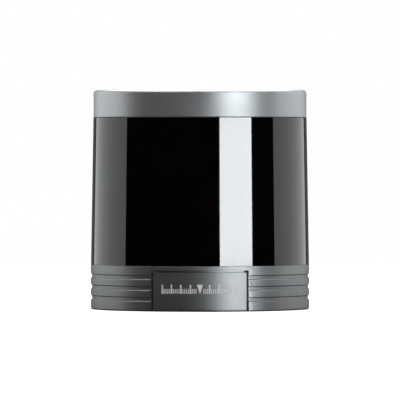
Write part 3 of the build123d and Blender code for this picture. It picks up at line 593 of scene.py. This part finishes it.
# ---------------------------------------------------------------- top cap
cap_spigot_low = WINDOW_HIGH - SPIGOT_HEIGHT
seal_low = cap_spigot_low + SEAL_LIFT
seal_high = seal_low + SEAL_HEIGHT
seal_r = inner_high - SEAL_DEPTH
spigot_inner = inner_high - SPIGOT_WALL
head_low = COVER_LOW - SCREW_HEAD_DEPTH
piece("cap_shell", *lathe(rounded([
    (SCREW_BORE, SPINDLE_TOP, 0),
    (BOSS_R, SPINDLE_TOP, 0.15),
    (BOSS_R, CAP_TOP - CAP_ROOF, 0.4),
    (spigot_inner, CAP_TOP - CAP_ROOF, 0.6),
    (spigot_inner, cap_spigot_low, 0.15),
    (window_inner(cap_spigot_low) - FIT_GAP, cap_spigot_low, 0.15),
    (window_inner(seal_low) - FIT_GAP, seal_low, 0.05),
    (seal_r, seal_low, 0.05),
    (seal_r, seal_high, 0.05),
    (window_inner(seal_high) - FIT_GAP, seal_high, 0.05),
    (inner_high - FIT_GAP, WINDOW_HIGH, 0),
    (CAP_R - CAP_FOOT_EDGE, WINDOW_HIGH, 0.05),
    (CAP_R, WINDOW_HIGH + CAP_FOOT_EDGE, 0.08),
    (CAP_R, CAP_TOP, CAP_CORNER),
    (COVER_R + FIT_GAP + COVER_EDGE, CAP_TOP, 0.05),
    (COVER_R + FIT_GAP, CAP_TOP - COVER_EDGE, 0.05),
    (COVER_R + FIT_GAP, COVER_LOW, 0.05),
    (SCREW_HEAD_BORE, COVER_LOW, 0.05),
    (SCREW_HEAD_BORE, head_low, 0.05),
    (SCREW_BORE, head_low, 0.05),
], steps=8)), finish["cap_aluminium"], "cap_aluminium", "top_cap")

# ---------------------------------------------------------------- hub cover
piece("cover_disc", *lathe(rounded([
    (0.0, COVER_LOW, 0),
    (COVER_R, COVER_LOW, 0.1),
    (COVER_R, COVER_TOP - COVER_EDGE, 0.06),
    (COVER_R - COVER_EDGE, COVER_TOP, 0.06),
    (0.0, COVER_TOP, 0),
]), 128), finish["cap_aluminium"], "cap_aluminium", "hub_cover")

# ---------------------------------------------------------------- base housing
base_spigot_high = BASE_TOP + SPIGOT_HEIGHT
seal_low = BASE_TOP + SEAL_LIFT
seal_high = seal_low + SEAL_HEIGHT
seal_r = inner_low - SEAL_DEPTH
spigot_inner = inner_low - SPIGOT_WALL
outline = [
    (CAVITY_R, FOOT_RIM, 0.1),
    (BASE_R - FOOT_RIM, FOOT_RIM, 0.1),
    (BASE_R - FOOT_RIM, 0.0, 0.1),
    (BASE_R - FOOT_EDGE, 0.0, 0.08),
    (BASE_R - FOOT_EDGE + 0.05, 0.2, 0.05),
    (BASE_R, FOOT_EDGE, 0.08),
]
for upper in GROOVE_TOPS:
    lower = upper - GROOVE_WIDTH
    outline += [
        (BASE_R, lower, 0.24),
        (BASE_R - GROOVE_DEPTH, lower + GROOVE_SLOPE, 0.08),
        (BASE_R - GROOVE_DEPTH, upper - GROOVE_SLOPE, 0.08),
        (BASE_R, upper, 0.08),
    ]
outline += [
    (BASE_R, BASE_TOP, 0.03),
    (inner_low - FIT_GAP, BASE_TOP, 0.05),
    (window_inner(seal_low) - FIT_GAP, seal_low, 0.04),
    (seal_r, seal_low, 0.04),
    (seal_r, seal_high, 0.04),
    (window_inner(seal_high) - FIT_GAP, seal_high, 0.04),
    (window_inner(base_spigot_high) - FIT_GAP, base_spigot_high, 0.1),
    (spigot_inner, base_spigot_high, 0.1),
    (spigot_inner, BASE_TOP - DECK_DROP, 0.3),
    (DECK_BORE, BASE_TOP - DECK_DROP, 0.1),
    (DECK_BORE, BASE_TOP - DECK_LOW, 0.1),
    (CAVITY_R, BASE_TOP - DECK_LOW, 0.5),
]
base = piece("base_shell", *lathe(rounded(outline, steps=3, hold=0.03)),
             finish["base_aluminium"], "base_aluminium", "base_housing")


def curved_cutter(inner, outer, z_low, z_high, columns=104):
    """Cutter between two radii, as wide as the badge's pocket."""
    turns = [-POCKET_HALF + 2 * POCKET_HALF * i / columns for i in range(columns + 1)]
    return grid([[polar(inner, a, z_low), polar(outer, a, z_low),
                  polar(outer, a, z_high), polar(inner, a, z_high)] for a in turns])


def rim_cutter(side):
    """Cutter that slopes the housing towards one end of the pocket."""
    overlap = side * (POCKET_HALF - 0.4)
    corners = [(BASE_R - RIM_DROP, side * POCKET_HALF), (BASE_R, side * RIM_HALF),
               (OUTSIDE, side * RIM_HALF), (OUTSIDE, overlap), (BASE_R - RIM_DROP, overlap)]
    count = len(corners)
    verts = [polar(r, a, z) for z in (POCKET_LOW, POCKET_HIGH) for r, a in corners]
    sides = [(i, (i + 1) % count, count + (i + 1) % count, count + i) for i in range(count)]
    return verts, [tuple(range(count)), tuple(range(count, 2 * count))] + sides


pocket = curved_cutter(PLATE_INNER, OUTSIDE, POCKET_LOW, POCKET_HIGH)
slot = curved_cutter(SLOT_INNER, PLATE_INNER + 0.3, PLATE_HIGH, POCKET_HIGH)
flat = ([(x, y, z) for z in (SOCKET_Z - FLAT_HALF, SOCKET_Z + FLAT_HALF)
         for x, y in ((-FLAT_HALF, FLAT_Y), (FLAT_HALF, FLAT_Y),
                      (FLAT_HALF, OUTSIDE), (-FLAT_HALF, OUTSIDE))],
        [(0, 1, 2, 3), (4, 5, 6, 7), (0, 1, 5, 4), (1, 2, 6, 5), (2, 3, 7, 6), (3, 0, 4, 7)])
bore_start = CAVITY_R - 4.0
bore = tube([(0.0, bore_start), (SOCKET_BORE, bore_start), (SOCKET_BORE, OUTSIDE),
             (0.0, OUTSIDE)], 96, 0.0, SOCKET_Z)
cut(base, pocket, slot, rim_cutter(-1), rim_cutter(1), flat, bore)

# ---------------------------------------------------------------- badge plate
EDGE_STEPS = 3
EDGE_HOLD = PLATE_EDGE + 0.08   # flat points beside the rounded edge keep the face flat
PLATE_COLUMNS = 100
quarter = [math.pi / 2 * k / EDGE_STEPS for k in range(EDGE_STEPS + 1)]


def plate_loop(degrees, inset):
    """Radial section of the plate, its face set back by inset near the rounded ends."""
    face = PLATE_R - inset
    low_edge = [polar(face - PLATE_EDGE * (1 - math.sin(a)), degrees,
                      PLATE_LOW + PLATE_EDGE * (1 - math.cos(a))) for a in quarter]
    high_edge = [polar(face - PLATE_EDGE * (1 - math.sin(a)), degrees,
                       PLATE_HIGH - PLATE_EDGE * (1 - math.cos(a))) for a in reversed(quarter)]
    return [polar(PLATE_INNER, degrees, PLATE_LOW), *low_edge,
            polar(face, degrees, PLATE_LOW + EDGE_HOLD),
            polar(face, degrees, PLATE_HIGH - EDGE_HOLD), *high_edge,
            polar(PLATE_INNER, degrees, PLATE_HIGH)]


rounding = [(math.degrees(PLATE_EDGE * (1 - math.cos(a)) / BASE_R),
             PLATE_EDGE * (1 - math.sin(a))) for a in quarter]
flat_half = PLATE_HALF - math.degrees(EDGE_HOLD / BASE_R)
stations = [(-PLATE_HALF + a, inset) for a, inset in rounding]
stations += [(-flat_half + 2 * flat_half * i / PLATE_COLUMNS, 0.0)
             for i in range(PLATE_COLUMNS + 1)]
stations += [(PLATE_HALF - a, inset) for a, inset in reversed(rounding)]
rows = [plate_loop(a, inset) for a, inset in stations]
piece("badge_face", *grid(rows), plate_finish, "base_aluminium", "badge_plate")

# ---------------------------------------------------------------- azimuth marks on the plate
# a tick for each degree, longer every five, either side of a small pointer
verts, faces = [], []


def mark(points):
    """Thin printed patch on the plate from (degrees, height) corners."""
    first = len(verts)
    count = len(points)
    verts.extend(polar(PLATE_R + 0.03, a, z) for a, z in points)
    verts.extend(polar(PLATE_R - 0.02, a, z) for a, z in points)
    faces.append(tuple(range(first, first + count)))
    faces.append(tuple(range(first + count, first + 2 * count)))
    for i in range(count):
        j = (i + 1) % count
        faces.append((first + i, first + j, first + count + j, first + count + i))


for tick in range(-20, 21):
    if abs(tick) < 2:
        continue
    if tick % 5 == 0:
        half, top = 0.36, MARK_HIGH
    else:
        half, top = 0.20, MARK_LOW + 2.4
    mark([(tick - half, MARK_LOW), (tick + half, MARK_LOW), (tick + half, top),
          (tick - half, top)])
mark([(-1.6, MARK_HIGH), (0.0, MARK_LOW), (1.6, MARK_HIGH)])
piece("index_marks", verts, faces, mark_finish, "base_aluminium")

# ---------------------------------------------------------------- floor
# white paper to the camera, dark to the object's reflections
REACH = 1.2
floor_mesh = bpy.data.meshes.new("floor")
floor_mesh.from_pydata([(-REACH, -REACH, 0), (REACH, -REACH, 0), (REACH, REACH, 0),
                        (-REACH, REACH, 0)], [], [(0, 1, 2, 3)])
floor = bpy.data.objects.new("floor", floor_mesh)
bpy.context.scene.collection.objects.link(floor)
s = Shader("floor_paper", Base_Color=(0.86, 0.86, 0.86, 1.0), Roughness=0.9)
distance = s.add("ShaderNodeVectorMath", {0: s.coords}, operation="LENGTH")
s.main.inputs["Emission Color"].default_value = (1.0, 1.0, 1.0, 1.0)
s.link(s.ramp(distance.outputs["Value"], 0.25, 1.0, 0.08, 0.6), "Emission Strength")
s.link(s.ramp(s.noise(40.0, 5.0), 0.86, 0.94), "Roughness")
s.link(s.bump(s.noise(0.8, 4.0), 0.01), "Normal")
bounce = s.add("ShaderNodeBsdfDiffuse", Color=(0.06, 0.06, 0.06, 1.0))
to_camera = s.add("ShaderNodeLightPath").outputs["Is Camera Ray"]
shown = s.add("ShaderNodeMixShader", {0: to_camera, 1: bounce.outputs[0], 2: s.main.outputs[0]})
s.tree.links.new(shown.outputs[0], s.tree.nodes["Material Output"].inputs["Surface"])
floor_mesh.materials.append(s.mat)
